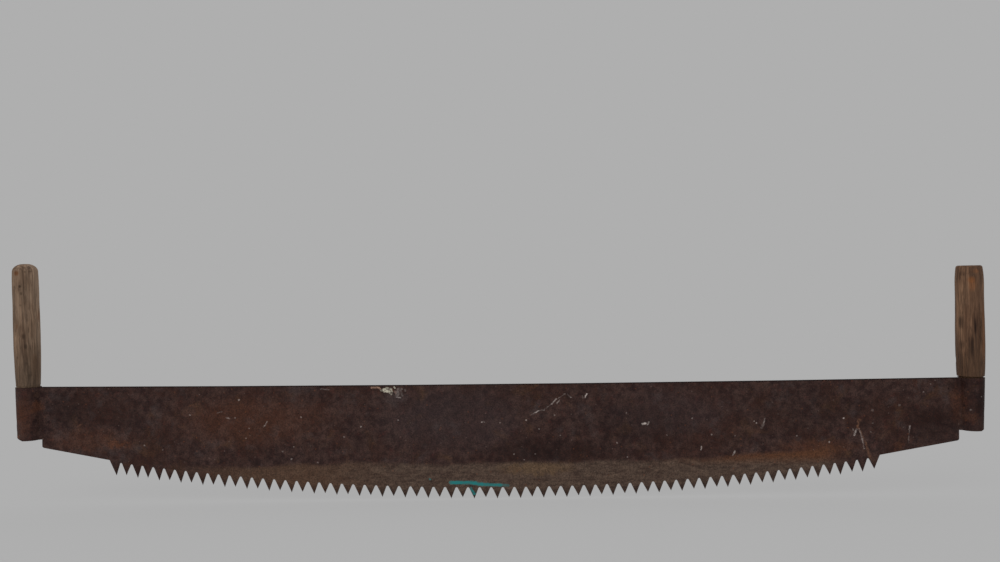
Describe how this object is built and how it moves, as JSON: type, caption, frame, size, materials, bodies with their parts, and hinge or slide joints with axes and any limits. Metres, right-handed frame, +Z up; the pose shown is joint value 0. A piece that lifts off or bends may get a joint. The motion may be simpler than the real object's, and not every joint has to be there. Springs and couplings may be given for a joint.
{
  "type": "two-man crosscut saw",
  "caption": "Long bellied saw blade with peg teeth, its ends rolled into sockets that hold two upright wooden handles.",
  "frame": {"origin": "under the middle of the saw, level with the lowest tooth point, in the mid-plane of the blade", "axes": "+X along the blade to the right-hand handle seen from the front, -Y the front face of the blade, +Z up from the teeth to the back and along the handles"},
  "size_m": [1.2539, 0.0356, 0.3097],
  "materials": {
    "rusted_steel": "dark brown rust patina, dull, bare along the teeth",
    "grey_weathered_wood": "weathered, dry, worn smooth by hands",
    "brown_weathered_wood": "weathered, stained, worn smooth by hands"
  },
  "bodies": {
    "blade": {"blade": "rusted_steel"},
    "left_handle": {"left_handle": "grey_weathered_wood"},
    "right_handle": {"right_handle": "brown_weathered_wood"}
  },
  "joints": [
    {"name": "left_handle_pull", "type": "slide", "parent": "blade", "child": "left_handle", "axis": [0, 0, 1], "range_m": [0, 0.08]},
    {"name": "right_handle_pull", "type": "slide", "parent": "blade", "child": "right_handle", "axis": [0, 0, 1], "range_m": [0, 0.08]}
  ]
}
